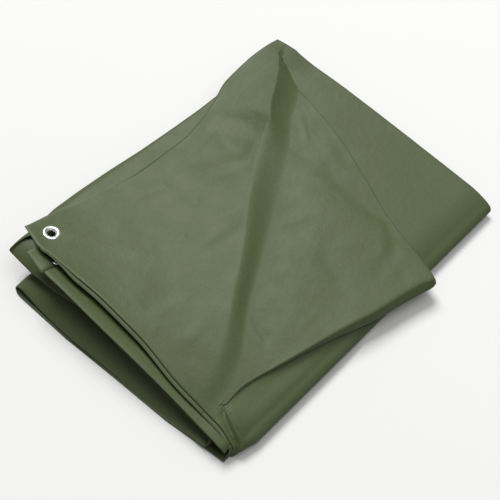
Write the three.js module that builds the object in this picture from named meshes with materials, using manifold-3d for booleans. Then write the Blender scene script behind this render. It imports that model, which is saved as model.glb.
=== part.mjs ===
// Folded poly tarp: one sheet of laminated cloth laid back and forth in a low stack, with a pressed
// metal eyelet through the hemmed corner at each of its two free ends.
//
// Sizes are in millimetres. While the pieces are made, x runs along the front edge of the top layer from
// its left corner, y runs back along its left edge, and z is the height above the floor. At the end the
// whole is moved so that its origin lies on the floor under the middle of the stack.

import * as THREE from "three";
import { mergeVertices } from "three/addons/utils/BufferGeometryUtils.js";
import Module from "manifold-3d";

const wasm = await Module();
wasm.setup();

// The sheet and the stack it makes.
const SHEET = 1.4; // thickness of the laminated cloth
const DEPTH = 475; // from the front hem of the top layer to its back edge
const RIGHT_SIDE = 387; // outside of the big bend down the right side
const BEND_START = 374; // where the right side panel leaves the top and where it reaches the floor
const SHOULDER = 338; // from here on the top slopes down towards the right side
const SAG_POWER = 1.6; // the top falls slowly near its lifted left end and faster further on

// The layers, from the top down. left and right are where the flat run ends and its bend begins, and
// back is the back edge. The heights are those of the sheet's middle, at the left and the right, at the
// front and the back. fade is how quickly the lifted front left corner comes down to the height at the
// back, and end is the height that the layer droops to at its right end, past shoulder.
const layers = {
  top: {
    left: 0, right: BEND_START, shoulder: SHOULDER, back: DEPTH, fade: 85, arch: 0,
    leftFront: 78, leftBack: 36, rightFront: 34, rightBack: 27, endFront: 22, endBack: 21.5,
  },
  end: {
    left: 27, right: 361, shoulder: 322, back: DEPTH - 6, fade: 115, arch: 0,
    leftFront: 67, leftBack: 31, rightFront: 30, rightBack: 20, endFront: 13, endBack: 16,
  },
  inner: {
    left: 0, right: 361, shoulder: 318, back: DEPTH - 2, fade: 115, arch: 0,
    leftFront: 54.5, leftBack: 26.5, rightFront: 26, rightBack: 16, endFront: 7.5, endBack: 11,
  },
  corner: {
    left: -1, right: 340, shoulder: 300, back: DEPTH - 4, fade: 115, arch: 0,
    leftFront: 50, leftBack: 20, rightFront: 20, rightBack: 11.5, endFront: 15, endBack: 11,
  },
  loop: {
    left: 34, right: 340, shoulder: 300, back: DEPTH - 8, fade: 150, arch: 5,
    leftFront: 20, leftBack: 10, rightFront: 6.5, rightBack: 5, endFront: 5.5, endBack: 5,
  },
  bottom: {
    left: 34, right: BEND_START, shoulder: BEND_START, back: DEPTH - 3, fade: 100, arch: 0,
    leftFront: SHEET / 2, leftBack: SHEET / 2, rightFront: SHEET / 2, rightBack: SHEET / 2,
    endFront: SHEET / 2, endBack: SHEET / 2,
  },
};

// The front hem of each layer: how far back it lies, by how far to the right.
const hems = {
  top: [
    { x: 0, y: 0 }, { x: 20, y: -3.5 }, { x: 39, y: -6 }, { x: 50, y: -3.5 }, { x: 88, y: 0 },
    { x: 143, y: 5 }, { x: 206, y: 6 }, { x: 281, y: 1 }, { x: 345, y: 2 }, { x: BEND_START, y: -2 },
  ],
  end: [
    { x: 27, y: -18 }, { x: 69, y: -23.5 }, { x: 147, y: -21 }, { x: 276, y: -16 }, { x: 361, y: -15 },
  ],
  inner: [{ x: 0, y: -9 }, { x: 361, y: -13 }],
  corner: [{ x: -1, y: -30 }, { x: 340, y: -22 }],
  loop: [
    { x: 34, y: -47 }, { x: 47, y: -45 }, { x: 70, y: -39 }, { x: 165, y: -29 }, { x: 251, y: -24 },
    { x: 340, y: -18 },
  ],
  bottom: [
    { x: 34, y: -56 }, { x: 115, y: -51.5 }, { x: 178, y: -44.5 }, { x: 264, y: -36 },
    { x: 345, y: -27.5 }, { x: 366, y: -24 }, { x: BEND_START, y: -18 },
  ],
};
for (const [name, hem] of Object.entries(hems)) layers[name].hem = hem;

// The bends that join the layers, each a half ellipse that bulges past the ends of its layers, to the
// left where the reach is below zero. The reach changes with how far back the bend is.
const SIDE_REACH = RIGHT_SIDE - BEND_START - SHEET / 2;
const bends = {
  rightSide: {
    from: "top", to: "bottom",
    reach: [{ y: -25, reach: 1 }, { y: -5, reach: 5 }, { y: 25, reach: SIDE_REACH }],
  },
  nose: { from: "bottom", to: "loop", reach: [{ y: -40, reach: -13 }, { y: 100, reach: -12 }] },
  underCorner: { from: "loop", to: "corner", reach: [{ y: 0, reach: 8 }] },
  leftSide: {
    from: "corner", to: "inner",
    reach: [
      { y: -30, reach: -6 }, { y: 10, reach: -7 }, { y: 55, reach: -14 }, { y: 125, reach: -13 },
      { y: 200, reach: -8 }, { y: 300, reach: -3 },
    ],
  },
  underEnd: { from: "inner", to: "end", reach: [{ y: 0, reach: 6 }] },
};

// The valley that crosses the top layer, by how far back. crease is the line of its bottom, flank the
// width of its left slope, peak the swelling along the top of that slope, and edge the swelling left
// at the free left edge.
const valley = [
  { y: 0, crease: 334, flank: 36, peak: 1, edge: 0 },
  { y: 23, crease: 334, flank: 36, peak: 3, edge: 0 },
  { y: 63, crease: 303, flank: 36, peak: 6, edge: 0 },
  { y: 132, crease: 262, flank: 38, peak: 8, edge: 0 },
  { y: 193, crease: 222, flank: 42, peak: 9, edge: 0 },
  { y: 256, crease: 184, flank: 42, peak: 10, edge: 0 },
  { y: 321, crease: 142, flank: 44, peak: 9, edge: 0 },
  { y: 352, crease: 122, flank: 36, peak: 15, edge: 2 },
  { y: 400, crease: 90, flank: 38, peak: 17, edge: 6 },
  { y: 426, crease: 62, flank: 40, peak: 16, edge: 8 },
  { y: 455, crease: 22, flank: 24, peak: 10, edge: 8 },
  { y: 475, crease: 18, flank: 22, peak: 7, edge: 7 },
];

// The outline of the flap to the right of the valley, by how far back: edge is where its upper sheet
// ends, and under is how much further out its lower sheet folds back.
const flap = [
  { y: 0, edge: 334, under: 0 },
  { y: 23, edge: 334, under: 0 },
  { y: 64, edge: 337, under: 0 },
  { y: 133, edge: 354, under: 0 },
  { y: 170, edge: 362, under: 1 },
  { y: 243, edge: 381, under: 6 },
  { y: 312, edge: 397, under: 8 },
  { y: 328, edge: 404, under: 3 },
  { y: 337, edge: 374, under: 2 },
  { y: 353, edge: 306, under: 2 },
  { y: 380, edge: 233, under: 2 },
  { y: 402, edge: 169, under: 2 },
  { y: 426, edge: 74, under: 2 },
  { y: 455, edge: 24, under: 0 },
  { y: 475, edge: 18, under: 0 },
];
const FLAP_LIFT = 6; // height of the flap above the layer that it lies on
const FLAP_FULL = 14; // width at which the flap is a full fold, not just a step
const FLAP_REACH = 3; // how far the flap's edge bulges past its two sheets
const FLAP_SPREAD = 8; // half the width of the step where the flap has run out
const CREASE_SHARE = 0.8; // the valley's bottom lies at this share of the flap's lift
const UNDER_SHARE = 0.5; // the flap's lower sheet lies at this share of the room under the upper one
const UNDER_SHARE_SIDE = 0.2; // and sinks to this one past the shoulder

// The left edge of the top layer, by how far back.
const leftEdge = [
  { y: 0, x: 0 },
  { y: 40, x: 0 },
  { y: 110, x: 6 },
  { y: 290, x: 9 },
  { y: 330, x: 2 },
  { y: 370, x: -10 },
  { y: 430, x: -13 },
  { y: 475, x: -9 },
];

// How far back the rows of the sheet's facets lie, denser where the flap and the corners need it.
const rows = [
  0, 12, 24, 32, 40, 64, 96, 133, 170, 210, 250, 290, 316, 328, 340, 356, 376, 400, 426, 448, 462, 475,
];

// The eyelets and the corners they sit in.
const CORNER = 36; // the hems' width, so the side of the square in which they cross
const CORNER_THICKNESS = 2.8; // four plies, where the two hems cross
const GAP = 0.3; // clearance between pieces that touch
const HOLE_RADIUS = 6; // the open hole of an eyelet
const BARREL_RADIUS = 6.8; // outside of the eyelet's tube
const FLANGE_RADIUS = 11.5; // the eyelet's pressed face
const WASHER_RADIUS = 11;
const ROLL = 1.6; // width of the metal rolled out over the washer, and of the face's outer roll
const METAL = 0.8; // thickness of the eyelet's and the washer's metal
const DOME = 1.7; // height of the rolled face over its own foot
const FROM_END = 25.3; // from the sheet's end to the eyelet's centre
const FROM_HEM = 22.8; // from the front hem to the eyelet's centre
const ROUND_STEPS = 32;

const clamp01 = (t) => Math.min(1, Math.max(0, t));
const mix = (a, b, t) => a + (b - a) * t;
const smooth = (t) => clamp01(t) ** 2 * (3 - 2 * clamp01(t));

// A column of a table at a place between its rows, which go by y unless another column is named.
function lookUp(table, key, at, by = "y") {
  const next = table.findIndex((row) => row[by] > at);
  if (next === 0) return table[0][key];
  if (next < 0) return table[table.length - 1][key];
  const [a, b] = [table[next - 1], table[next]];
  return mix(a[key], b[key], (at - a[by]) / (b[by] - a[by]));
}

// The height of a layer's middle, with and without the droop past its shoulder.
function flatHeight(layer, x, y) {
  const lifted = Math.exp(-Math.max(0, y - layer.hem[0].y) / layer.fade);
  const left = mix(layer.leftBack, layer.leftFront, lifted);
  const right = mix(layer.rightFront, layer.rightBack, clamp01(y / DEPTH));
  const along = clamp01((x - layer.left) / (layer.shoulder - layer.left));
  return mix(left, right, along ** SAG_POWER) + layer.arch * Math.sin(Math.PI * along);
}

function height(layer, x, y) {
  const droop = clamp01((x - layer.shoulder) / Math.max(1, layer.right - layer.shoulder)) ** 2;
  const end = mix(layer.endFront, layer.endBack, clamp01(y / DEPTH));
  return mix(flatHeight(layer, x, y), end, droop);
}

// How far back a point lies, from its share v of the way from the front hem to the back edge.
function hemAt(layer, x) {
  return lookUp(layer.hem, "y", x, "x");
}

function depthAt(layer, x, v) {
  return mix(hemAt(layer, x), layer.back, v);
}

// How far the flap has opened at a row: 0 where it has run out, 1 where it is a full fold.
function flapShare(y) {
  return smooth((lookUp(flap, "edge", y) - lookUp(valley, "crease", y)) / FLAP_FULL);
}

// The swelling of the top layer over its plain height, left of the valley and in its flank.
function swelling(x, y) {
  const crease = lookUp(valley, "crease", y);
  const ridge = crease - lookUp(valley, "flank", y);
  const left = lookUp(leftEdge, "x", y);
  const peak = lookUp(valley, "peak", y);
  const rise = mix(lookUp(valley, "edge", y), peak, clamp01((x - left) / (ridge - left)));
  const bottom = CREASE_SHARE * FLAP_LIFT * flapShare(y);
  return mix(rise, bottom, smooth((x - ridge) / (crease - ridge)));
}

function topHeight(x, y) {
  const crease = lookUp(valley, "crease", y);
  if (x <= crease) return flatHeight(layers.top, x, y) + swelling(x, y);
  const share = flapShare(y);
  const rise = mix(CREASE_SHARE, 1, clamp01((x - crease) / FLAP_FULL));
  return mix(height(layers.top, x, y), flatHeight(layers.top, x, y) + FLAP_LIFT * rise, share);
}

// The sheet's run from its upper end to its lower end. Each section has a name, the number of facets
// along it, and the point at share t of its length in row v.
function onTop(from, to) {
  return (t, v) => {
    const y = v * DEPTH;
    const x = mix(from(y), to(y), t);
    return [x, depthAt(layers.top, x, v), topHeight(x, y)];
  };
}

function onLayer(name, from, to) {
  return (t, v) => {
    const layer = layers[name];
    const x = mix(from(v * DEPTH), to(v * DEPTH), t);
    const y = depthAt(layer, x, v);
    return [x, y, height(layer, x, y)];
  };
}

function onBend(name) {
  const { from, to, reach } = bends[name];
  const [a, b] = [layers[from], layers[to]];
  const side = reach[0].reach > 0 ? "right" : "left";
  return (t, v) => {
    const turn = Math.PI * t;
    const share = (1 - Math.cos(turn)) / 2;
    const y = mix(depthAt(a, a[side], v), depthAt(b, b[side], v), share);
    const x = mix(a[side], b[side], t) + lookUp(reach, "reach", y) * Math.sin(turn);
    return [x, y, mix(height(a, a[side], y), height(b, b[side], y), share)];
  };
}

const edgeX = (y) => lookUp(leftEdge, "x", y);
const creaseX = (y) => lookUp(valley, "crease", y);
const besideCornerX = (y) => Math.min(CORNER, mix(edgeX(y), ridgeX(y), 0.4));
const ridgeX = (y) => creaseX(y) - lookUp(valley, "flank", y);
const valleyX = (y) => creaseX(y) - mix(2 * FLAP_SPREAD, 0, flapShare(y));
const flapX = (y) => mix(creaseX(y) - FLAP_SPREAD, lookUp(flap, "edge", y) - FLAP_REACH, flapShare(y));
const underX = (y) => creaseX(y) + mix(FLAP_SPREAD, FLAP_REACH, flapShare(y));
const fixed = (x) => () => x;
const startOf = (name) => fixed(layers[name].left);
const shoulderOf = (name) => fixed(layers[name].shoulder);
const endOf = (name) => fixed(layers[name].right);
const bendShoulder = fixed(SHOULDER + 8);

// The flap's fold, the hidden run back to the valley, and the fold there, which opens again to the right.
// Where the flap has run out, the three are spread over a short step.
function onFlapFold(first, last) {
  return (t, v) => {
    const y = v * DEPTH;
    const s = mix(first, last, t);
    const share = flapShare(y);
    const [right, left] = [flapX(y), underX(y)];
    const plain = mix(creaseX(y) - FLAP_SPREAD, creaseX(y) + FLAP_SPREAD, s / 3);
    const upper = topHeight(right, y);
    const lower = height(layers.top, left, y);
    const middle = (x) => {
      const past = clamp01((x - SHOULDER) / (BEND_START - SHOULDER));
      return mix(height(layers.top, x, y), topHeight(x, y), mix(UNDER_SHARE, UNDER_SHARE_SIDE, past));
    };
    let [x, z] = [right, upper];
    const out = lookUp(flap, "under", y);
    if (s < 1) {
      const turn = (1 - Math.cos(Math.PI * s)) / 2;
      x = right + out * turn + FLAP_REACH * Math.sin(Math.PI * s);
      z = mix(upper, middle(right + out), turn);
    } else if (s < 2) {
      x = mix(right + out, left, s - 1);
      z = middle(x);
    } else {
      x = left - FLAP_REACH * Math.sin(Math.PI * (s - 2));
      z = mix(middle(left), lower, (1 - Math.cos(Math.PI * (s - 2))) / 2);
    }
    x = mix(plain, x, share);
    z = mix(height(layers.top, x, y), z, share);
    return [x, depthAt(layers.top, Math.min(x, BEND_START), v), z];
  };
}

const run = [
  { name: "free left end", facets: 2, at: onTop(edgeX, besideCornerX) },
  { name: "free left part", facets: 6, at: onTop(besideCornerX, ridgeX) },
  { name: "flank of the valley", facets: 4, at: onTop(ridgeX, valleyX) },
  { name: "flap", facets: 4, at: onTop(valleyX, flapX) },
  { name: "edge of the flap", facets: 4, at: onFlapFold(0, 1) },
  { name: "run back under the flap", facets: 4, at: onFlapFold(1, 2) },
  { name: "fold under the valley", facets: 4, at: onFlapFold(2, 3) },
  { name: "right part of the top", facets: 4, at: onLayer("top", underX, bendShoulder) },
  { name: "shoulder", facets: 3, at: onLayer("top", bendShoulder, endOf("top")) },
  { name: "right side panel", facets: 7, at: onBend("rightSide") },
  { name: "right end of the bottom", facets: 2, at: onLayer("bottom", endOf("bottom"), bendShoulder) },
  { name: "bottom", facets: 5, at: onLayer("bottom", bendShoulder, startOf("bottom")) },
  { name: "nose", facets: 7, at: onBend("nose") },
  { name: "loop", facets: 6, at: onLayer("loop", startOf("loop"), endOf("loop")) },
  { name: "bend under the corner layer", facets: 5, at: onBend("underCorner") },
  { name: "corner layer", facets: 5, at: onLayer("corner", endOf("corner"), startOf("corner")) },
  { name: "left side bend", facets: 5, at: onBend("leftSide") },
  { name: "inner layer", facets: 4, at: onLayer("inner", startOf("inner"), shoulderOf("inner")) },
  { name: "inner droop", facets: 3, at: onLayer("inner", shoulderOf("inner"), endOf("inner")) },
  { name: "bend under the end layer", facets: 4, at: onBend("underEnd") },
  { name: "end droop", facets: 3, at: onLayer("end", endOf("end"), shoulderOf("end")) },
  { name: "end layer", facets: 5, at: onLayer("end", shoulderOf("end"), startOf("end")) },
];

// A thin closed sheet whose middle follows a grid of points: a flat box, bent point by point.
function sheetGeometry(middle, columns, lines, thickness) {
  const geometry = new THREE.BoxGeometry(columns, thickness, lines, columns, 1, lines);
  const place = geometry.getAttribute("position");
  const clip = (i, most) => Math.min(most, Math.max(0, i));
  const between = (a, b) => new THREE.Vector3().subVectors(b, a);
  for (let i = 0; i < place.count; i += 1) {
    const column = Math.round(place.getX(i) + columns / 2);
    const line = Math.round(place.getZ(i) + lines / 2);
    const along = between(middle(clip(column - 1, columns), line), middle(clip(column + 1, columns), line));
    const across = between(middle(column, clip(line - 1, lines)), middle(column, clip(line + 1, lines)));
    const normal = new THREE.Vector3().crossVectors(across, along).normalize();
    const point = middle(column, line).clone().addScaledVector(normal, place.getY(i));
    place.setXYZ(i, point.x, point.y, point.z);
  }
  return geometry;
}

// Joins the corners that facets share, which leaves the closed body that the booleans need.
function closed(geometry) {
  geometry.deleteAttribute("normal");
  geometry.deleteAttribute("uv");
  return mergeVertices(geometry, 1e-3);
}

function toManifold(geometry) {
  const body = closed(geometry);
  const triangles = new Uint32Array(body.getIndex().array);
  const points = new Float32Array(body.getAttribute("position").array);
  return new wasm.Manifold(new wasm.Mesh({ numProp: 3, vertProperties: points, triVerts: triangles }));
}

function fromManifold(body) {
  const mesh = body.getMesh();
  const geometry = new THREE.BufferGeometry();
  geometry.setAttribute("position", new THREE.BufferAttribute(new Float32Array(mesh.vertProperties), 3));
  geometry.setIndex(new THREE.BufferAttribute(new Uint32Array(mesh.triVerts), 1));
  return geometry;
}

function wholeSheet() {
  const places = [];
  run.forEach((section, i) => {
    for (let k = i === 0 ? 0 : 1; k <= section.facets; k += 1) places.push([section, k / section.facets]);
  });
  const grid = places.map(([section, t]) => rows.map((y) => new THREE.Vector3(...section.at(t, y / DEPTH))));
  return sheetGeometry((column, line) => grid[column][line], places.length - 1, rows.length - 1, SHEET);
}

// A square of the sheet at one of its two hemmed corners, as thick as asked. Where it cuts the sheet,
// it runs past the sheet's own edges and grows inwards by extra.
const corners = {
  upper: { layer: layers.top, heightAt: (x, back) => topHeight(x, back) },
  lower: { layer: layers.end, heightAt: (x, back) => height(layers.end, x, hemAt(layers.end, x) + back) },
};
const CORNER_STOPS = [0, 1, 2, 3, 4].map((i) => (i * CORNER) / 4);
const CUT_PAST = 6;

function cornerPoint(corner, across, back) {
  const x = corner.layer.left + across;
  return new THREE.Vector3(x, hemAt(corner.layer, x) + back, corner.heightAt(x, back));
}

function cornerSquare(corner, thickness, extra) {
  const stops = extra > 0 ? [-CUT_PAST, ...CORNER_STOPS, CORNER + extra] : CORNER_STOPS;
  const middle = (column, line) => cornerPoint(corner, stops[column], stops[line]);
  return sheetGeometry(middle, stops.length - 1, stops.length - 1, thickness);
}

// The place and the tilt of a corner's eyelet.
function eyeletMatrix(corner) {
  const reach = FLANGE_RADIUS;
  const at = (across, back) => cornerPoint(corner, FROM_END + across, FROM_HEM + back);
  const along = at(reach, 0).sub(at(-reach, 0));
  const back = at(0, reach).sub(at(0, -reach));
  const normal = new THREE.Vector3().crossVectors(along, back).normalize();
  const turn = new THREE.Quaternion().setFromUnitVectors(new THREE.Vector3(0, 1, 0), normal);
  return new THREE.Matrix4().compose(at(0, 0), turn, new THREE.Vector3(1, 1, 1));
}

function turned(points) {
  const profile = points.map(([r, h]) => new THREE.Vector2(r, h));
  return new THREE.LatheGeometry([...profile, profile[0].clone()], ROUND_STEPS);
}

function eyeletGeometry() {
  const foot = CORNER_THICKNESS / 2 + GAP;
  const lip = foot + METAL + GAP;
  return turned([
    [HOLE_RADIUS, -lip - METAL],
    [BARREL_RADIUS + ROLL, -lip - METAL],
    [BARREL_RADIUS + ROLL, -lip],
    [BARREL_RADIUS, -lip],
    [BARREL_RADIUS, foot],
    [FLANGE_RADIUS - METAL, foot],
    [FLANGE_RADIUS, foot + METAL / 2],
    [FLANGE_RADIUS - ROLL, foot + DOME * 0.75],
    [(FLANGE_RADIUS + HOLE_RADIUS) / 2, foot + DOME],
    [HOLE_RADIUS + 1, foot + DOME * 0.7],
    [HOLE_RADIUS, foot],
  ]);
}

function washerGeometry() {
  const top = -CORNER_THICKNESS / 2 - GAP;
  return turned([
    [BARREL_RADIUS + GAP, top - METAL],
    [WASHER_RADIUS, top - METAL],
    [WASHER_RADIUS, top],
    [BARREL_RADIUS + GAP, top],
  ]);
}

function cornerGeometry(corner) {
  const radius = BARREL_RADIUS + GAP;
  const bore = new THREE.CylinderGeometry(radius, radius, CORNER, ROUND_STEPS);
  const hole = toManifold(bore.applyMatrix4(eyeletMatrix(corner)));
  return fromManifold(toManifold(cornerSquare(corner, CORNER_THICKNESS, 0)).subtract(hole));
}

function clothGeometry() {
  let cloth = toManifold(wholeSheet());
  for (const corner of Object.values(corners)) {
    cloth = cloth.subtract(toManifold(cornerSquare(corner, 2 * CORNER_THICKNESS, GAP)));
  }
  return fromManifold(cloth);
}

const tarpGreen = new THREE.MeshStandardMaterial({ color: 0x66705a, roughness: 0.62, metalness: 0 });
const plated = new THREE.MeshStandardMaterial({ color: 0xe4e5e3, roughness: 0.25, metalness: 1 });

const pieces = {
  folded_cloth: [clothGeometry(), tarpGreen],
  upper_corner: [cornerGeometry(corners.upper), tarpGreen],
  upper_eyelet: [eyeletGeometry().applyMatrix4(eyeletMatrix(corners.upper)), plated],
  upper_washer: [washerGeometry().applyMatrix4(eyeletMatrix(corners.upper)), plated],
  lower_corner: [cornerGeometry(corners.lower), tarpGreen],
  lower_eyelet: [eyeletGeometry().applyMatrix4(eyeletMatrix(corners.lower)), plated],
  lower_washer: [washerGeometry().applyMatrix4(eyeletMatrix(corners.lower)), plated],
};

const tarp = new THREE.Group();
for (const [name, [geometry, material]] of Object.entries(pieces)) {
  const mesh = new THREE.Mesh(geometry, material);
  mesh.name = name;
  tarp.add(mesh);
}

// The origin goes to the floor, under the middle of the stack.
const box = new THREE.Box3().setFromObject(tarp);
tarp.position.set(-(box.min.x + box.max.x) / 2, -(box.min.y + box.max.y) / 2, -box.min.z);

export default tarp;
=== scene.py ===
import math
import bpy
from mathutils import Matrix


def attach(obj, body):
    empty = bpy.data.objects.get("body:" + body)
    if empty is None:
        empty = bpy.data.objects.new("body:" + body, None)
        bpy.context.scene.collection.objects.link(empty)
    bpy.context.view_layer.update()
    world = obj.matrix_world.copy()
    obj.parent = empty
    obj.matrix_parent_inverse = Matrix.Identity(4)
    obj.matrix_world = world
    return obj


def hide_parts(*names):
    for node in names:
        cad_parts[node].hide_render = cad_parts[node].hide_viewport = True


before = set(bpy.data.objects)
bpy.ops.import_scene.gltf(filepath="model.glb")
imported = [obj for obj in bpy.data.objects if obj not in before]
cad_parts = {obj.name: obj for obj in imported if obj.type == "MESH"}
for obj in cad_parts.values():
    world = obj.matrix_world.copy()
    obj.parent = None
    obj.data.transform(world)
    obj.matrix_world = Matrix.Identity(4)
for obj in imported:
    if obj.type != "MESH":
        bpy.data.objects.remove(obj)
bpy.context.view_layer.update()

from types import SimpleNamespace

import bmesh
import bpy
from mathutils import Matrix, Vector, noise

# The folded cloth. A tarp of woven polyethylene tape, laminated olive green on both faces and hemmed all
# round. It is laid back and forth in layers, with its upper corner lifted at the front left and a loose
# flap folded over to the right of a diagonal valley.
#
# Sizes here are in millimetres, x to the right along the front hem of the top layer, y back along its
# left edge and z up from the floor.
MM = 0.001
STACK_MIDDLE = Vector((195.959, 209.556, 0.0))
SHEET = 0.8  # the laminate's thickness
FACE = 0.7  # how far its face stands over the middle of a layer
DEPTH = 475.0  # the top layer, from its front hem to its back edge
SHOULDER = 338.0  # where the top layer begins to fall towards the bend down its right side
BEND_START = 374.0
SAG_POWER = 1.6  # over 1, a layer stays high beside its lifted edge and falls later


def clamp(t):
    return min(1.0, max(0.0, t))


def mix(a, b, t):
    return a + (b - a) * t


def smooth(t):
    t = clamp(t)
    return t * t * (3 - 2 * t)


def curve(*points):
    """A smooth line through points of (place, value), level past its ends and never past its own values."""
    spots = [place for place, _ in points]
    values = [value for _, value in points]
    steps = [(b - a) / (q - p) for p, q, a, b in zip(spots, spots[1:], values, values[1:])]
    inner = [2 * a * b / (a + b) if a * b > 0 else 0.0 for a, b in zip(steps, steps[1:])]
    slopes = [steps[0], *inner, steps[-1]]

    def value_at(place):
        if place <= spots[0]:
            return values[0]
        if place >= spots[-1]:
            return values[-1]
        i = max(k for k, spot in enumerate(spots) if spot <= place)
        width = spots[i + 1] - spots[i]
        t = (place - spots[i]) / width
        lean = slopes[i] * (t - 2 * t * t + t**3) + slopes[i + 1] * (t**3 - t * t)
        return values[i] + (values[i + 1] - values[i]) * smooth(t) + width * lean

    return value_at


# The layers, from the top down, each with the ends of its flat run, its shoulder, the heights of its
# middle at the left and right and at the front and back, the height it droops to past its shoulder, how
# quickly its lifted front left corner comes down, and its front hem and back edge by x.
def layer(ends, shoulder, left, right, end, fade, hem, back, arch=0.0, droop=((0, 0), (1, 0)), apron=30.0,
          raised=lambda x, y: 0.0):
    return SimpleNamespace(start=ends[0], stop=ends[1], shoulder=shoulder, left=left, right=right, end=end,
                           fade=fade, hem=curve(*hem), back=curve(*back), arch=arch, droop=curve(*droop),
                           apron=apron, raised=raised)


end_raise = curve((27, 2), (50, 3), (75, 4), (200, 2.4), (300, 1), (361, 0))
end_trough = curve((27, 0), (55, 2), (85, 7.5), (200, 6.5), (300, 3), (340, 1))


def lifted_front(x, y):
    """The end layer's front lies close under the top one."""
    trough = math.exp(-(((y - top.hem(x) + 1) / 9) ** 2))
    return end_raise(x) * smooth((30 - y) / 30) - end_trough(x) * trough


def lifted_left(x, y):
    """The inner layer's left edge swells up to the edge of the top one."""
    return 6.5 * smooth((26 - x) / 18) * smooth((y - 30) / 70)


TOP_HEM = [(0, 0), (20, -3.5), (39, -6), (50, -3.5), (88, 0), (143, 5), (206, 6), (281, 1), (345, 2),
           (374, -2)]
BOTTOM_HEM = [(34, -56), (115, -51.5), (178, -44.5), (264, -36), (345, -27.5), (366, -24), (374, -16)]
LOOP_HEM = [(34, -50), (60, -50), (115, -48.5), (178, -42), (264, -34), (340, -25)]
layers = {
    "top": layer((0, 374), 338, (78, 36), (34, 27), (20.8, 19.5), 85, TOP_HEM,
                 [(-13, 464), (-7, 466), (60, 472), (127, 475), (374, 477)]),
    "end": layer((27, 361), 334, (67, 31), (30, 20), (26, 16), 115,
                 [(27, -20), (66, -25.5), (69.5, -23.5), (147, -21), (276, -16), (361, -15)],
                 [(0, 469), (400, 469)], raised=lifted_front),
    "inner": layer((0, 361), 318, (53.3, 26.5), (26, 16), (7.5, 11), 115,
                   [(0, 2), (12, -3), (26, -11), (361, -13)], [(0, 473), (400, 473)],
                   droop=((0, 5), (30, 3), (60, 0)), apron=26, raised=lifted_left),
    "corner": layer((-4, 340), 300, (51, 20), (20, 11.5), (15, 11), 115,
                    [(-4, -30), (50, -29), (110, -16), (340, -14)], [(0, 471), (400, 471)],
                    droop=((-4, 13), (30, 15), (60, 14), (200, 6), (340, 2)), apron=30),
    "loop": layer((34, 340), 300, (20, 10), (6.5, 5), (5.5, 5), 150, LOOP_HEM, [(0, 467), (400, 467)],
                  arch=5, droop=((34, 6), (80, 17), (200, 15), (340, 3)), apron=34),
    "bottom": layer((34, 374), 374, (0.7, 0.7), (0.7, 0.7), (0.7, 0.7), 100, BOTTOM_HEM,
                    [(0, 472), (400, 472)]),
}
top = layers["top"]


def flat_height(sheet, x, y):
    """A layer's height without its fall past the shoulder. Its front left corner is lifted."""
    lifted = math.exp(-max(0.0, y - sheet.hem(sheet.start)) / sheet.fade)
    left = mix(sheet.left[1], sheet.left[0], lifted)
    right = mix(sheet.right[0], sheet.right[1], clamp(y / DEPTH))
    along = clamp((x - sheet.start) / (sheet.shoulder - sheet.start))
    near = clamp(1 - (y - sheet.hem(x)) / sheet.apron)
    sag = mix(left, right, along**SAG_POWER) + sheet.arch * math.sin(math.pi * along)
    return sag - sheet.droop(x) * near**2 + sheet.raised(x, y)


def height(sheet, x, y):
    """A layer's height. Past its shoulder it falls towards its bend."""
    droop = clamp((x - sheet.shoulder) / max(1.0, sheet.stop - sheet.shoulder)) ** 2
    return mix(flat_height(sheet, x, y), mix(*sheet.end, clamp(y / DEPTH)), droop)


def place(sheet, x, y, z):
    """A point that lies y back from the front hem in the flat cloth, between its layer's two edges."""
    return Vector((x, mix(sheet.hem(x), sheet.back(x), y / DEPTH), z))


# The valley across the top layer and the flap beside it, by y. The crease is the bottom of the valley, the
# flank is how wide the slope on its left is, and the peak is how high the ridge above that slope stands.
left_edge = curve((0, 0), (43, 0), (78, 6), (109, 9), (135, 13), (175, 18), (254, 19), (287, 13), (330, 2),
                  (370, -10), (430, -13), (475, -9))
crease = curve((0, 326), (16, 326), (24, 325.5), (33, 324.5), (43, 322.5), (73, 309), (100, 290), (132, 265),
               (193, 226), (256, 188), (321, 146), (352, 124), (375, 105), (421, 77), (440, 46), (454, 18),
               (475, 16))
flank = curve((0, 24), (23, 26), (63, 30), (143, 29), (192, 34), (250, 44), (290, 48), (325, 44), (342, 41),
              (352, 37), (367, 37), (400, 38), (412, 39.5), (421, 38), (430, 33), (440, 22.5), (447, 13),
              (454, 7), (475, 12))
peak = curve((0, 1), (23, 5), (63, 9.5), (132, 11.5), (193, 12), (256, 12), (321, 11), (345, 14), (352, 16),
             (400, 18), (426, 17), (440, 15.5), (447, 13.5), (455, 11), (463, 8.4), (475, 7.5))
# How high the left edge stands, and how sharply the slope turns at the crease.
edge_rise = curve((0, 0), (321, 0), (352, 2), (400, 6), (426, 8), (455, 8), (475, 7))
sharpness = curve((340, 0), (356, 1))
# The flap's folded edge, how far its fold bulges out past that, and how high the flap is lifted.
flap_edge = curve((0, 326), (8, 326.2), (14, 328.5), (20, 332), (25, 333.2), (33, 332.7), (46, 332.2),
                  (59, 333.5), (73, 336.5), (99, 344), (133, 353), (188, 366), (243, 381), (289, 390),
                  (312, 396), (322, 401), (328, 404), (331, 398), (337, 374), (353, 306), (380, 233),
                  (402, 169), (411, 135), (426, 74), (440, 46), (454, 18), (475, 16))
flap_out = curve((0, 0), (133, 0.5), (170, 2), (243, 6), (312, 8.5), (322, 6), (328, 2.5), (475, 1))
flap_lift = curve((0, 0.6), (18, 1.0), (30, 2.2), (60, 4.5), (100, 6), (300, 6), (328, 5), (345, 3),
                  (475, 2.8))
FLAP_FULL = 7.0  # the flap has its whole shape where it is at least this wide
FLAP_REACH = 1.0  # its fold starts this far inside its edge
FLAP_SPREAD = 2.5
FLAP_RISE = 75.0  # it reaches its whole height this far from the crease
CREASE_SHARE = 0.5  # the share of that height at the crease
UNDER_REACH = 2.0  # how far the fold under the valley turns back


def ridge_x(y):
    """Where the valley's left flank starts."""
    return crease(y) - flank(y)


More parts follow.
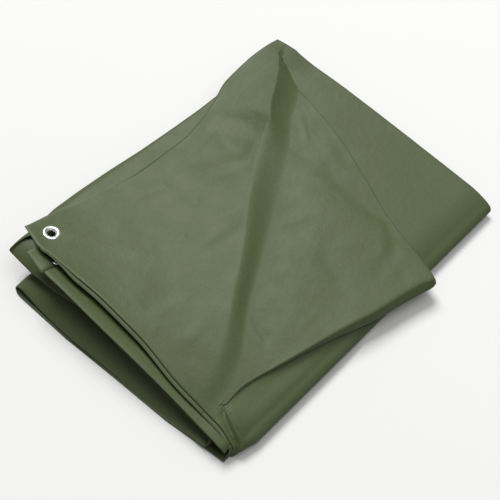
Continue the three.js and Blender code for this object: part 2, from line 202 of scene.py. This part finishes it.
def flap_share(y):
    """How much of a flap there is: none at its front and back ends."""
    return smooth((flap_edge(y) - crease(y)) / FLAP_FULL)


# Creases and soft wrinkles, listed one by one: how high each one stands, or how deep it lies where the
# height is below zero, how wide it is on its left and its right side, and the line that it follows.
wrinkles = [
    (1.3, 16, 9, [(72, 205), (84, 235), (98, 269), (116, 285)]),
    (-1.4, 16, 14, [(39, 291), (71, 289), (104, 296)]),
    (0.7, 14, 8, [(50, 138), (57, 166), (66, 190)]),
    (0.6, 7, 4, [(108, 175), (114, 196)]),
    (0.9, 14, 8, [(160, 136), (167, 172), (172, 212)]),
    (0.7, 11, 8, [(142, 170), (154, 196), (160, 226)]),
    (-0.8, 14, 9, [(182, 26), (187, 56), (193, 80)]),
    (0.6, 9, 6, [(248, 33), (249, 50), (248, 68)]),
    (0.6, 12, 5, [(40, 28), (49, 49), (52, 72)]),
    (-0.4, 6, 5, [(90, 104), (104, 112)]),
    (0.3, 5, 5, [(205, 25), (217, 16)]),
    (0.4, 8, 6, [(119, 66), (121, 90)]),
    (0.8, 4, 6, [(203, 232), (217, 256), (228, 280)]),
    (-0.7, 14, 8, [(196, 236), (206, 262), (214, 280)]),
    (0.8, 5, 5, [(149, 364), (117, 384), (93, 396)]),
    (0.35, 3, 3, [(126, 380), (132, 405), (135, 424)]),
    (0.35, 3, 3, [(134, 381), (148, 379)]),
    (0.8, 9, 8, [(177, 332), (186, 365), (202, 372)]),
    (-0.8, 12, 10, [(192, 345), (206, 372), (214, 384)]),
    (0.7, 10, 8, [(202, 324), (210, 361), (232, 380)]),
    (-1.0, 12, 8, [(266, 344), (288, 349), (308, 352)]),
    (0.8, 10, 6, [(333, 302), (320, 325), (307, 348)]),
    (-0.9, 8, 8, [(315, 341), (337, 325), (353, 299)]),
    (-0.8, 10, 9, [(274, 250), (303, 241), (334, 235)]),
    (-0.6, 9, 8, [(350, 268), (344, 294), (338, 314)]),
    (-0.5, 8, 7, [(355, 307), (383, 297)]),
    (-0.7, 10, 9, [(232, 176), (244, 192), (256, 210)]),
    (-0.6, 9, 9, [(260, 182), (284, 198), (312, 204)]),
    (-0.45, 2.2, 2.6, [(258, 137), (278, 135), (302, 131)]),
    (1.1, 5, 3, [(269, 119), (290, 111), (316, 106)]),
    (-0.8, 5, 7, [(276, 124), (296, 118), (318, 112)]),
    (0.35, 4, 3, [(282, 264), (298, 290), (314, 296)]),
    (0.3, 5, 5, [(321, 281), (332, 301)]),
    (0.3, 4, 4, [(328, 158), (330, 188)]),
    (-0.6, 6, 5, [(247, 374), (250, 405), (254, 440)]),
    (-1.5, 12, 26, [(2, 298), (41, 318), (74, 335), (90, 343)]),
]
WRINKLE_STRENGTH = 1.3
WRINKLE_END = 0.35  # the share of its length over which a wrinkle fades
WRINKLE_LEFT = 0.25  # what is left of the fade at its very end
BOX_MARGIN = 2.5  # widths of a wrinkle beyond which it counts for nothing


def wrinkle_boxes():
    """For each wrinkle the left, right, front and back limits of the cloth that it touches."""
    for rise, left, right, line in wrinkles:
        margin = BOX_MARGIN * max(left, right)
        xs = [x for x, _ in line]
        ys = [y for _, y in line]
        yield (min(xs) - margin, max(xs) + margin, min(ys) - margin, max(ys) + margin)


boxed_wrinkles = list(zip(wrinkle_boxes(), wrinkles))


def wrinkling(x, y):
    """The height of all the wrinkles at a place. Each fades out towards both ends of its line."""
    total = 0.0
    for (x0, x1, y0, y1), (rise, left, right, line) in boxed_wrinkles:
        if not (x0 < x < x1 and y0 < y < y1):
            continue
        best = None
        lengths = [math.dist(a, b) for a, b in zip(line, line[1:])]
        run = 0.0
        for (ax, ay), (bx, by), length in zip(line, line[1:], lengths):
            ux, uy = (bx - ax) / length, (by - ay) / length
            t = min(length, max(0.0, (x - ax) * ux + (y - ay) * uy))
            dx, dy = x - ax - ux * t, y - ay - uy * t
            away = math.hypot(dx, dy)
            if best is None or away < best[0]:
                best = (away, ux * dy - uy * dx, run + t)
            run += length
        away, side, reached = best
        width = left if side > 0 else right
        fade = smooth(min(reached, run - reached) / (WRINKLE_END * run) + WRINKLE_LEFT)
        total += WRINKLE_STRENGTH * rise * fade * math.exp(-((away / width) ** 2))
    return total


DENT_X, DENT_Y, DENT_WIDTH, DENT_DEPTH = 88, 278, 40, 6.3


def dent(x, y):
    """The broad round dent in front of the lifted back corner."""
    return -DENT_DEPTH * math.exp(-(math.hypot(x - DENT_X, y - DENT_Y) / DENT_WIDTH) ** 2)


def rolling(x, y):
    """The shallow waves left in a laminate that has been folded flat and opened again."""
    broad = noise.noise(Vector((x / 95, y / 70, 3.1))) * 1.3
    middle = noise.noise(Vector((x / 34, y / 26, 7.7))) * 0.55
    small = noise.noise(Vector((x / 13, y / 11, 1.9))) * 0.16
    return broad + middle + small


PINCH_X, PINCH_WIDTH, PINCH_START, PINCH_LENGTH, PINCH_RISE = 16, 26, 430, 28, 7.4


def pinch(x, y):
    """At the back left corner the right part rises to meet the lifted corner."""
    across = math.exp(-(((x - PINCH_X) / PINCH_WIDTH) ** 2))
    return PINCH_RISE * across * smooth((y - PINCH_START) / PINCH_LENGTH)


# The tuck that runs on from the flap's front end over the right side, behind a strip of the front hem:
# a groove, a lip and a thin line behind the lip. Its line is given by the length of the cloth.
tuck_line = curve((330, 22), (334, 20.3), (340, 15.6), (351.5, 11.8), (361, 10), (374, 8.5), (400, 6))
tuck_profile = curve((-12, 0), (-6, -2.0), (-2.4, -3.4), (-0.8, -2.6), (0.8, 0.8), (2.4, 1.3), (4.2, 1.0),
                     (5.0, -0.5), (5.8, 0.3), (8, 0.5), (15, 0))
tuck_start = curve((332, 0), (342, 1))
TUCK_END, TUCK_FADE = 440, 20


def tuck(run_x, y):
    """How high the tuck stands, or how deep its groove lies."""
    return tuck_profile(y - tuck_line(run_x)) * tuck_start(run_x) * smooth((TUCK_END - run_x) / TUCK_FADE)


def crease_depth(y):
    """How high the bottom of the valley lies over the plain height."""
    return CREASE_SHARE * flap_lift(y) * flap_share(y)


def swelling(x, y):
    """How much the top stands over its plain height: its rise to the ridge and the fall into the valley."""
    bottom = crease(y)
    ridge = ridge_x(y)
    left = left_edge(y)
    rise = mix(edge_rise(y), peak(y), clamp((x - left) / (ridge - left)) ** 1.5)
    deepest = crease_depth(y) + pinch(x, y)
    s = clamp((x - ridge) / (bottom - ridge))
    fall = mix(smooth(s), 1 - (1 - s) ** 1.5, sharpness(y))
    return mix(rise, deepest, fall)


CALM_SHARE, CALM_WIDTH = 0.2, 30  # beside the crease the cloth is stretched smooth


def top_height(x, y):
    """The height of the upper sheet of the top layer, with the valley, the flap and all the small shapes."""
    plain = flat_height(top, x, y)
    detail = rolling(x, y) + wrinkling(x, y) + dent(x, y)
    detail *= mix(CALM_SHARE, 1, smooth(abs(x - crease(y)) / CALM_WIDTH))
    if x <= crease(y):
        return plain + swelling(x, y) + detail
    share = flap_share(y)
    rise = mix(CREASE_SHARE, 1, smooth((x - crease(y)) / FLAP_RISE))
    return mix(right_height(x, y), plain + flap_lift(y) * rise + detail, share)


# Beside the flap's lower edge the right part falls away steeply and levels out towards its bend.
hollow = curve((18, 0), (50, 4), (150, 4), (200, 2), (260, 0))


def right_height(x, y):
    """The right part of the top, which comes out from under the flap."""
    quiet = smooth((BEND_START - x) / 30) * smooth((x - crease(y)) / 30)
    fallen = smooth((x - flap_edge(y) + 12) / 26) * (1 - smooth((x - 350) / 24))
    return height(top, x, y) + pinch(x, y) + 0.5 * rolling(x + 200, y) * quiet - hollow(y) * fallen


# The run of the cloth from its upper end to its lower end: for each section the number of facets along
# it, and the point at share t of its length, y back from the front hem.
def on_top(start, stop):
    """Along the upper sheet, between two lines given by y."""
    def at(t, y):
        x = mix(start(y), stop(y), t)
        return place(top, x, y, top_height(x, y))
    return at


def on_right_part(start, stop):
    """Along the sheet that comes out from under the flap."""
    def at(t, y):
        x = mix(start(y), stop(y), t)
        return place(top, x, y, right_height(x, y))
    return at


def on_layer(name, start, stop):
    """Along the flat run of a layer."""
    sheet = layers[name]

    def at(t, y):
        x = mix(start, stop, t)
        back = mix(sheet.hem(x), sheet.back(x), y / DEPTH)
        return Vector((x, back, height(sheet, x, back)))
    return at


LATE_START, LATE_LENGTH = 0.45, 0.5


def on_bend(upper, lower, side, reach, late=False, eager=0.0):
    """Round the bend from one layer to the next, which reaches out by the given amount for each y. A late
    bend keeps its first layer's front and back edges longer. An eager one leaves its first layer steeply.
    """
    first, second = layers[upper], layers[lower]
    x0, x1 = getattr(first, side), getattr(second, side)

    def at(t, y):
        turn = math.pi * t
        share = mix((1 - math.cos(turn)) / 2, t, eager * (1 - t))
        y_share = smooth((t - LATE_START) / LATE_LENGTH) if late else share
        back = mix(place(first, x0, y, 0).y, place(second, x1, y, 0).y, y_share)
        z = mix(height(first, x0, back), height(second, x1, back), share)
        return Vector((mix(x0, x1, t) + reach(back) * math.sin(turn), back, z))
    return at


def spread(y):
    """Half the width over which the columns of the flap spread where there is none."""
    return min(FLAP_SPREAD, 0.3 * flank(y))


def valley_x(y):
    """Where the flap's upper sheet starts, at the bottom of the valley."""
    return crease(y) - mix(2 * spread(y), 0, flap_share(y))


def flap_x(y):
    """Where the flap's fold starts, beside its edge."""
    return mix(crease(y) - spread(y), flap_edge(y) - FLAP_REACH, flap_share(y))


def under_x(y):
    """Where the sheet comes out from under the flap."""
    return crease(y) + mix(spread(y), UNDER_REACH, flap_share(y))


# The flap's own fold, seen from the front: it leaves the upper sheet with a sharp edge, bulges out and
# turns back under.
fold_out = curve((0, 0), (0.12, 0.16), (0.35, 0.5), (0.6, 0.86), (0.78, 1), (0.9, 0.9), (1, 0.62))
fold_down = curve((0, 0), (0.12, 0.08), (0.35, 0.32), (0.6, 0.6), (0.78, 0.8), (0.9, 0.93), (1, 1))


def under_height(x, y):
    """The height of the sheet that turns back under the flap, between the flap and the right part."""
    past = clamp((x - SHOULDER) / (BEND_START - SHOULDER))
    lower = right_height(x, y)
    return mix(lower, max(lower, top_height(x, y)), mix(0.5, 0.2, past))


BEND_LIMIT = 420  # no part of the fold reaches past the side bend


def on_flap_fold(first, last):
    """Along the flap's fold: up to 1 round its edge, up to 2 back under it, and up to 3 round below it."""
    def at(t, y):
        s = mix(first, last, t)
        share = flap_share(y)
        right, left, out = flap_x(y), under_x(y), flap_out(y)
        if s < 1:
            x = right + (out + FLAP_REACH) * fold_out(s)
            z = mix(top_height(right, y), under_height(right + out, y), fold_down(s))
        elif s < 2:
            start = right + (out + FLAP_REACH) * fold_out(1)
            x = mix(start, left, s - 1)
            z = under_height(x, y)
        else:
            turn = s - 2
            x = left - UNDER_REACH * math.sin(math.pi * turn)
            z = mix(under_height(left, y), right_height(left, y), (1 - math.cos(math.pi * turn)) / 2)
        plain = mix(crease(y) - spread(y), crease(y) + spread(y), s / 3)
        x = mix(plain, x, share)
        z = mix(top_height(x, y) if x < crease(y) else right_height(x, y), z, share)
        return place(top, min(x, BEND_LIMIT), y, z)
    return at


def same(value):
    """The same value for every y."""
    return lambda y: value


SHOULDER_END = SHOULDER + 8
END_FOLD, LOWER_END = 322, 27
side_reach = curve((-25, 1), (-5, 3), (8, 8), (25, 12.6))
nose_reach = curve((-40, -13), (100, -12))
left_reach = curve((-30, -6), (10, -7), (55, -14), (125, -13), (200, -8), (300, -3))
end_reach = curve((0, 9), (40, 7))
run = [
    (76, on_top(left_edge, ridge_x)),
    (18, on_top(ridge_x, valley_x)),
    (51, on_top(valley_x, flap_x)),
    (9, on_flap_fold(0, 1)),
    (8, on_flap_fold(1, 2)),
    (5, on_flap_fold(2, 3)),
    (33, on_right_part(under_x, same(SHOULDER_END))),
    (8, on_right_part(same(SHOULDER_END), same(BEND_START))),
    (20, on_bend("top", "bottom", "stop", side_reach, eager=0.6)),
    (4, on_layer("bottom", 374, 34)),
    (10, on_bend("bottom", "loop", "start", nose_reach)),
    (10, on_layer("loop", 34, 340)),
    (6, on_bend("loop", "corner", "stop", same(8))),
    (9, on_layer("corner", 340, -4)),
    (10, on_bend("corner", "inner", "start", left_reach, late=True)),
    (7, on_layer("inner", 0, 318)),
    (4, on_layer("inner", 318, 361)),
    (5, on_bend("inner", "end", "stop", end_reach)),
    (4, on_layer("end", 361, END_FOLD)),
    (14, on_layer("end", END_FOLD, LOWER_END)),
]
# The sections that differ from the rest, counted from 1.
UPPER_SECTION, FLAP_FOLD, FLAP_UNDER, SIDE_BEND, LOOP, INNER, LOWER_SECTION = 1, 4, 5, 9, 12, 16, len(run)

# The hems: the cloth's edge is turned under and welded down. Each step is how far in from the edge it
# lies and how far it lies under the face of the cloth.
HEM = [(36, 1.0), (30, 1.0), (18, 1.1), (8, 1.3), (3, 1.5), (1.2, 1.6), (0.2, 1.4), (-0.1, 1.1),
       (-0.15, 0.8), (-0.05, 0.5), (0.2, 0.2), (0.8, 0.0), (2.5, 0.0)]
# Along the front of the top layer the hem is folded twice, and its lower fold stands out as a lip.
LIP_HEM = [(36, 1.6), (30, 1.9), (18, 2.4), (8, 3.1), (0, 3.7), (-4.2, 4.0), (-5.6, 3.6), (-5.4, 3.0),
           (-2.0, 2.7), (0.9, 2.1), (0.1, 1.1), (-0.4, 0.5), (0.7, 0.0)]
BACK_HEM = [(6, 0.0), (2.5, 0.0), (0.8, 0.1), (0.0, 0.7), (0.7, 1.4), (5, 1.6), (10, 1.6), (15, 1.6),
            (20, 1.6), (25, 1.6), (29, 1.6)]
SIDE_HEM = [(36, 0.05), (30, 0.25), (18, 0.7), (8, 1.1), (3, 1.4), *HEM[5:]]
HEM_WIDTH = 34.0
HEM_STEP = 0.14  # how much the cloth's face stands out over the turned hem
STEP_SLOPE = 1.6
lip_share = curve((30, 0), (42, 0.3), (58, 0.35), (100, 1))
# Rows lie close together over the front hem and further apart from there to the back hem.
HEM_END, FRONT_ROW, FRONT_ROWS, OPEN_ROWS = HEM[-1][0], 1.75, 16, 109
front_steps = [HEM_END + FRONT_ROW * i for i in range(1, FRONT_ROWS + 1)]
open_length = DEPTH - BACK_HEM[0][0] - front_steps[-1]
open_steps = [front_steps[-1] + open_length * i / OPEN_ROWS for i in range(1, OPEN_ROWS)]
rows = (
    [(y, depth, lip) for (y, depth), lip in zip(HEM, LIP_HEM)]
    + [(y, 0.0, (y, 0.0)) for y in front_steps + open_steps]
    + [(DEPTH - y, depth, (DEPTH - y, depth)) for y, depth in BACK_HEM]
)
# Each column is a place in the run: its section's shape, the share of that section's length, its step in
# a side hem if it has one, and the section's number.
columns = [(run[0][1], 0.0, step, UPPER_SECTION) for step in HEM]
for number, (facets, at) in enumerate(run, start=1):
    columns += [(at, k / facets, None, number) for k in range(1, facets + 1)]
columns = columns[:-1] + [(run[-1][1], 1.0, step, LOWER_SECTION) for step in reversed(SIDE_HEM)]
hem_edges = {UPPER_SECTION: columns[len(HEM) - 1], LOWER_SECTION: columns[1 - len(SIDE_HEM)]}
PROBE = 0.6  # how far a neighbour is taken to find which way the cloth faces
PROBE_SHARE = 0.004


def end_point(column, inward, y):
    """A point this far in from the upper or the lower end of the cloth."""
    at, _, _, number = column
    if number == UPPER_SECTION:
        return at(inward / (ridge_x(y) - left_edge(y)), y)
    return at(1 - inward / (END_FOLD - LOWER_END), y)


def base_point(column, y):
    at, t, step, _ = column
    return at(t, y) if step is None else end_point(column, step[0], y)


def base_normal(column, y, here):
    at, t, step, number = column
    ahead = base_point(column, y + PROBE)
    if step is None:
        beside = at(t + PROBE_SHARE, y) if t < 0.99 else here * 2 - at(t - PROBE_SHARE, y)
    elif number == UPPER_SECTION:
        beside = end_point(column, step[0] + PROBE, y)
    elif step[0] > PROBE:
        beside = end_point(column, step[0] - PROBE, y)
    else:
        beside = here * 2 - end_point(column, step[0] + PROBE, y)
    normal = (beside - here).cross(ahead - here)
    return normal.normalized() if normal.length > 1e-9 else Vector((0, 0, 1))


mesh = bmesh.new()
# The wear attribute holds wear at the hem edges together with a painted highlight and painted light.
wear_and_painted_light_layer = mesh.verts.layers.float.new("wear_and_painted_light")
uv = mesh.loops.layers.uv.new("cut")
bmesh.ops.create_grid(mesh, x_segments=len(columns) - 1, y_segments=len(rows) - 1, size=1.0)
mesh.verts.ensure_lookup_table()
in_order = sorted(mesh.verts, key=lambda vert: (round(vert.co.y, 5), round(vert.co.x, 5)))
grid = [in_order[r * len(columns):(r + 1) * len(columns)] for r in range(len(rows))]
cut = {}
SIDE_BEND_LENGTH = 36
HEM_OVERLAP = 0.25  # where two hems cross they lie this much deeper
# Painted light: the loop and inner layers, which lie in shade, are made paler all over to lift their shade.
painted_light_layers = {LOOP: 0.1, INNER: 0.15}
for r, (row_y, row_depth, (lip_y, lip_depth)) in enumerate(rows):
    along = 0.0
    before = None
    for c, column in enumerate(columns):
        at, t, step, number = column
        on_lip = 0.0
        if number <= SIDE_BEND:
            on_lip = lip_share(base_point(column, 10.0).x) if number < FLAP_FOLD else 1.0
            on_lip *= 1.0 if number < SIDE_BEND else 1 - 0.5 * t
        y = mix(row_y, lip_y, on_lip)
        depth = mix(row_depth, lip_depth, on_lip)
        here = base_point(column, y)
        normal = base_normal(column, y, here)
        if FLAP_FOLD <= number <= SIDE_BEND:
            depth -= tuck(here.x if number < SIDE_BEND else BEND_START + SIDE_BEND_LENGTH * t, y)
        if row_depth == 0.0 and y < HEM_WIDTH:
            depth -= HEM_STEP * smooth((HEM_WIDTH - y) / STEP_SLOPE + 0.5)
        if step is not None:
            depth = max(depth, step[1]) + HEM_OVERLAP * max(0.0, min(depth, step[1]))
        elif number in hem_edges and math.dist(here, base_point(hem_edges[number], y)) < HEM_WIDTH - 6:
            depth -= HEM_STEP
        grid[r][c].co = (here + normal * (FACE - depth) - STACK_MIDDLE) * MM
        if before is not None:
            along += (here - before).length
        before = here
        cut[grid[r][c]] = (left_edge(y) + along, y)
        # Wear along the hem edges; along the flap's folded ridge the paler colour is a painted highlight,
        # and on the loop and inner layers painted light.
        rim = 0.4 * smooth((3.5 - abs(row_y)) / 3.5) if number <= SIDE_BEND else 0.0
        if step is not None:
            rim = max(rim, 0.5 * smooth((3 - abs(step[0])) / 3))
        ridge = 0.6 * smooth(1 - 2.4 * t) * flap_share(y) if number == FLAP_UNDER else 0.0
        grid[r][c][wear_and_painted_light_layer] = max(rim, ridge, painted_light_layers.get(number, 0.0))

# The cut sheet's own coordinates, across the run and back from the front hem, carry the weave.
for face in mesh.faces:
    face.smooth = True
    for loop in face.loops:
        loop[uv].uv = (cut[loop.vert][0] * MM, cut[loop.vert][1] * MM)


# The holes for the two eyelets, rounded off under the eyelets' flanges.
HOLE = 8.0
HOLE_EDGE = 1.35 * HOLE  # corners of the cut facets up to here are drawn in to the round
SAME_LAYER = 4.5  # what is nearer than this to the hole's middle belongs to the same layer
WASHER_FACE = 1.7  # from the front of the washer up to the middle of the cloth


def eyelet_axis(washer):
    """The middle of the cloth where an eyelet goes through, and the way that the eyelet faces."""
    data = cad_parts[washer].data
    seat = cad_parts[washer].matrix_world
    flat = [face for face in data.polygons if (seat.to_3x3() @ face.normal).z > 0.7]
    area = sum(face.area for face in flat)
    axis = sum(((seat.to_3x3() @ face.normal) * face.area for face in flat), Vector()) / area
    middle = sum(((seat @ face.center) * face.area for face in flat), Vector()) / area
    axis.normalize()
    return middle + axis * WASHER_FACE * MM, axis


for washer in ("upper_washer", "lower_washer"):
    middle, axis = eyelet_axis(washer)

    def aside(point):
        offset = point - middle
        return offset - axis * offset.dot(axis)

    near = [f for f in mesh.faces if abs((f.calc_center_median() - middle).dot(axis)) < SAME_LAYER * MM]
    inside = [f for f in near if aside(f.calc_center_median()).length < HOLE * MM]
    bmesh.ops.delete(mesh, geom=inside, context="FACES")
    for edge in [e for e in mesh.edges if e.is_boundary]:
        for vert in edge.verts:
            out = aside(vert.co)
            if out.length < HOLE_EDGE * MM and abs((vert.co - middle).dot(axis)) < SAME_LAYER * MM:
                vert.co += out.normalized() * (HOLE * MM - out.length)

cloth_data = bpy.data.meshes.new("folded_tarp")
mesh.to_mesh(cloth_data)
mesh.free()
cloth = bpy.data.objects.new("folded_tarp", cloth_data)
bpy.context.collection.objects.link(cloth)
wall = cloth.modifiers.new("thickness", "SOLIDIFY")
wall.thickness = SHEET * MM
wall.offset = -1.0
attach(cloth, "root")
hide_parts("folded_cloth", "upper_corner", "lower_corner")


def link(tree, source, output, target, socket):
    """Leads an output of one shader node to an input of another."""
    tree.links.new(source.outputs[output], target.inputs[socket])


def adjust(tree, kind, **settings):
    """A new shader node with these settings."""
    node = tree.nodes.new(kind)
    for key, value in settings.items():
        setattr(node, key, value)
    return node


# The weave: flat tapes of the two directions pass over and under each other and show through the
# laminate. The group gives its height at a place on the cut sheet.
TAPE = 2.4
COLOR_A, COLOR_B, COLOR_OUT = 6, 7, 2  # the sockets of a Mix node that mixes colours
weave_group = bpy.data.node_groups.new("weave", "ShaderNodeTree")
weave_group.interface.new_socket("Height", in_out="OUTPUT", socket_type="NodeSocketFloat")
sheet_uv = adjust(weave_group, "ShaderNodeUVMap", uv_map="cut")
split = adjust(weave_group, "ShaderNodeSeparateXYZ")
link(weave_group, sheet_uv, 0, split, 0)
waves = []
for axis_name in ("X", "Y"):
    turns = adjust(weave_group, "ShaderNodeMath", operation="MULTIPLY")
    turns.inputs[1].default_value = math.pi / (TAPE * MM)
    wave = adjust(weave_group, "ShaderNodeMath", operation="SINE")
    link(weave_group, split, axis_name, turns, 0)
    link(weave_group, turns, 0, wave, 0)
    waves.append(wave)
product = adjust(weave_group, "ShaderNodeMath", operation="MULTIPLY")
link(weave_group, waves[0], 0, product, 0)
link(weave_group, waves[1], 0, product, 1)
weave_out = adjust(weave_group, "NodeGroupOutput")
link(weave_group, product, 0, weave_out, 0)

tarp = bpy.data.materials.new("tarp_cloth")
tarp.use_nodes = True
tree = tarp.node_tree
bsdf = tree.nodes["Principled BSDF"]
bsdf.inputs["Specular IOR Level"].default_value = 0.2
bsdf.inputs["Sheen Weight"].default_value = 0.03
bsdf.inputs["Sheen Roughness"].default_value = 0.5
spot = adjust(tree, "ShaderNodeTexCoord")


def cloud(scale, detail):
    """Soft noise on the object's own coordinates, scale in lumps a metre."""
    node = adjust(tree, "ShaderNodeTexNoise")
    node.inputs["Scale"].default_value = scale
    node.inputs["Detail"].default_value = detail
    link(tree, spot, "Object", node, "Vector")
    return node


# The colour varies a little in broad patches and in fine specks. It is paler along the hem edges, where the
# cloth wears, as a painted highlight along the flap's folded ridge, and as painted light over the loop and
# inner layers.
mottle = adjust(tree, "ShaderNodeMix", data_type="RGBA")
mottle.inputs[COLOR_A].default_value = (0.040, 0.054, 0.019, 1)
mottle.inputs[COLOR_B].default_value = (0.048, 0.063, 0.024, 1)
link(tree, cloud(9, 3), 0, mottle, 0)
speckle = adjust(tree, "ShaderNodeMix", data_type="RGBA", blend_type="MULTIPLY")
speckle.inputs[COLOR_B].default_value = (0.86, 0.87, 0.84, 1)
grain = adjust(tree, "ShaderNodeMapRange")
grain.inputs["From Min"].default_value = 0.45
grain.inputs["From Max"].default_value = 0.75
link(tree, cloud(420, 2), 0, grain, 0)
link(tree, grain, 0, speckle, 0)
link(tree, mottle, COLOR_OUT, speckle, COLOR_A)
# The wear attribute pales the colour: wear at the hem edges, a painted highlight on the flap's ridge and
# painted light that lifts the shade of the loop and inner layers.
wear_and_painted_light = adjust(tree, "ShaderNodeAttribute", attribute_name="wear_and_painted_light")
wear_and_painted_light_mix = adjust(tree, "ShaderNodeMix", data_type="RGBA")
wear_and_painted_light_mix.inputs[COLOR_B].default_value = (0.10, 0.118, 0.07, 1)
link(tree, wear_and_painted_light, "Fac", wear_and_painted_light_mix, 0)
link(tree, speckle, COLOR_OUT, wear_and_painted_light_mix, COLOR_A)
link(tree, wear_and_painted_light_mix, COLOR_OUT, bsdf, "Base Color")
gloss = adjust(tree, "ShaderNodeMapRange")
gloss.inputs["To Min"].default_value = 0.46
gloss.inputs["To Max"].default_value = 0.6
link(tree, cloud(30, 4), 0, gloss, 0)
link(tree, gloss, 0, bsdf, "Roughness")

# The surface: the weave, and the fine crinkles of a film that has been creased.
weave = adjust(tree, "ShaderNodeGroup", node_tree=weave_group)
weave_bump = adjust(tree, "ShaderNodeBump")
weave_bump.inputs["Strength"].default_value = 0.06
weave_bump.inputs["Distance"].default_value = 0.0002
link(tree, weave, 0, weave_bump, "Height")
crinkle_bump = adjust(tree, "ShaderNodeBump")
crinkle_bump.inputs["Strength"].default_value = 0.3
crinkle_bump.inputs["Distance"].default_value = 0.0012
link(tree, cloud(130, 5), 0, crinkle_bump, "Height")
link(tree, weave_bump, 0, crinkle_bump, "Normal")
link(tree, crinkle_bump, 0, bsdf, "Normal")
cloth_data.materials.append(tarp)


# The two eyelets. Each is a ring of pressed bright aluminium: a rounded flange over the face of the hem, a
# tube through the cloth and a lip rolled out over a plain washer on the back.
# Steps go outwards from the axis and up from the middle of the cloth.
EYELET = [(5.3, -1.2), (5.5, -0.2), (6.1, 0.8), (7.0, 1.7), (8.1, 2.3), (9.2, 2.5), (10.1, 2.25),
          (10.9, 1.7), (11.4, 1.0), (11.5, 0.75), (10.9, 0.72), (6.8, 0.72), (6.75, -2.2), (7.6, -2.4),
          (8.4, -2.6), (8.4, -3.2), (7.2, -3.3), (6.0, -2.9), (5.4, -2.0)]
WASHER = [(7.0, -1.45), (10.8, -1.45), (11.0, -1.65), (11.0, -2.05), (10.8, -2.25), (7.0, -2.25)]
RING_STEPS = 72
SHARP = math.radians(50)


def turned(name, profile, middle, axis, node):
    """A ring with this profile, which takes the place of a node."""
    ring = bmesh.new()
    turn = axis.to_track_quat("Z", "Y").to_matrix().to_4x4()
    seat = Matrix.Translation(middle) @ turn
    verts = [ring.verts.new(seat @ Vector((r * MM, 0, h * MM))) for r, h in profile]
    edges = [ring.edges.new((a, b)) for a, b in zip(verts, verts[1:] + verts[:1])]
    bmesh.ops.spin(ring, geom=verts + edges, cent=middle, axis=axis, dvec=(0, 0, 0), angle=2 * math.pi,
                   steps=RING_STEPS, use_merge=True, use_duplicate=False)
    bmesh.ops.remove_doubles(ring, verts=ring.verts, dist=1e-7)
    bmesh.ops.recalc_face_normals(ring, faces=ring.faces)
    for face in ring.faces:
        face.smooth = True
    for edge in ring.edges:
        edge.smooth = edge.calc_face_angle(0) < SHARP
    data = bpy.data.meshes.new(name)
    ring.to_mesh(data)
    ring.free()
    piece = bpy.data.objects.new(name, data)
    bpy.context.collection.objects.link(piece)
    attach(piece, "root")
    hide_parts(node)
    data.materials.append(aluminium)


aluminium = bpy.data.materials.new("eyelet_metal")
aluminium.use_nodes = True
tree = aluminium.node_tree
bsdf = tree.nodes["Principled BSDF"]
bsdf.inputs["Metallic"].default_value = 1.0
spot = adjust(tree, "ShaderNodeTexCoord")
metal = adjust(tree, "ShaderNodeMix", data_type="RGBA")
metal.inputs[COLOR_A].default_value = (0.78, 0.78, 0.77, 1)
metal.inputs[COLOR_B].default_value = (0.62, 0.62, 0.6, 1)
dull = adjust(tree, "ShaderNodeMapRange")
dull.inputs["From Min"].default_value = 0.4
dull.inputs["From Max"].default_value = 0.8
link(tree, cloud(260, 4), 0, dull, 0)
link(tree, dull, 0, metal, 0)
link(tree, metal, COLOR_OUT, bsdf, "Base Color")
rough = adjust(tree, "ShaderNodeMapRange")
rough.inputs["To Min"].default_value = 0.22
rough.inputs["To Max"].default_value = 0.42
link(tree, cloud(500, 3), 0, rough, 0)
link(tree, rough, 0, bsdf, "Roughness")
pressed = adjust(tree, "ShaderNodeBump")
pressed.inputs["Strength"].default_value = 0.15
pressed.inputs["Distance"].default_value = 0.0002
link(tree, cloud(800, 2), 0, pressed, "Height")
link(tree, pressed, 0, bsdf, "Normal")

for corner in ("upper", "lower"):
    middle, axis = eyelet_axis(corner + "_washer")
    turned(corner + "_eyelet_ring", EYELET, middle, axis, corner + "_eyelet")
    turned(corner + "_washer_ring", WASHER, middle, axis, corner + "_washer")

# The floor, a plain pale sweep.
floor_mesh = bmesh.new()
bmesh.ops.create_grid(floor_mesh, x_segments=1, y_segments=1, size=4.0)
floor_data = bpy.data.meshes.new("floor")
floor_mesh.to_mesh(floor_data)
floor_mesh.free()
floor = bpy.data.objects.new("floor", floor_data)
bpy.context.collection.objects.link(floor)
paper = bpy.data.materials.new("floor")
paper.use_nodes = True
bsdf = paper.node_tree.nodes["Principled BSDF"]
bsdf.inputs["Base Color"].default_value = (0.49, 0.492, 0.487, 1)
bsdf.inputs["Roughness"].default_value = 0.9
floor_data.materials.append(paper)

# Soft studio light: a dim room, a large soft light from the left and a small one overhead.
world = bpy.data.worlds.new("studio")
world.use_nodes = True
background = world.node_tree.nodes["Background"]
background.inputs["Color"].default_value = (1, 1, 1, 1)
background.inputs["Strength"].default_value = 0.3
bpy.context.scene.world = world


def soft_light(name, location, size, power):
    """A square light that faces the stack."""
    data = bpy.data.lights.new(name, "AREA")
    data.shape = "SQUARE"
    data.size = size
    data.energy = power
    lamp = bpy.data.objects.new(name, data)
    bpy.context.collection.objects.link(lamp)
    lamp.location = location
    lamp.rotation_euler = (-lamp.location).to_track_quat("-Z", "Y").to_euler()


soft_light("left light", (-5.0, 2.7, 8.2), 4.2, 1430)
soft_light("top light", (0.7, 0.9, 3.2), 2.4, 62)

# The camera, at the photograph's place: above the front right corner, a long lens without roll.
camera_data = bpy.data.cameras.new("camera")
camera_data.lens = 63
camera_data.sensor_width = 36
camera_data.clip_end = 20
camera = bpy.data.objects.new("camera", camera_data)
bpy.context.collection.objects.link(camera)
camera.location = (0.3875, -0.3940, 1.0349)
camera.rotation_euler = Vector((-0.33197, 0.33197, -0.88295)).to_track_quat("-Z", "Y").to_euler()
scene = bpy.context.scene
scene.camera = camera
scene.view_settings.view_transform = "Standard"
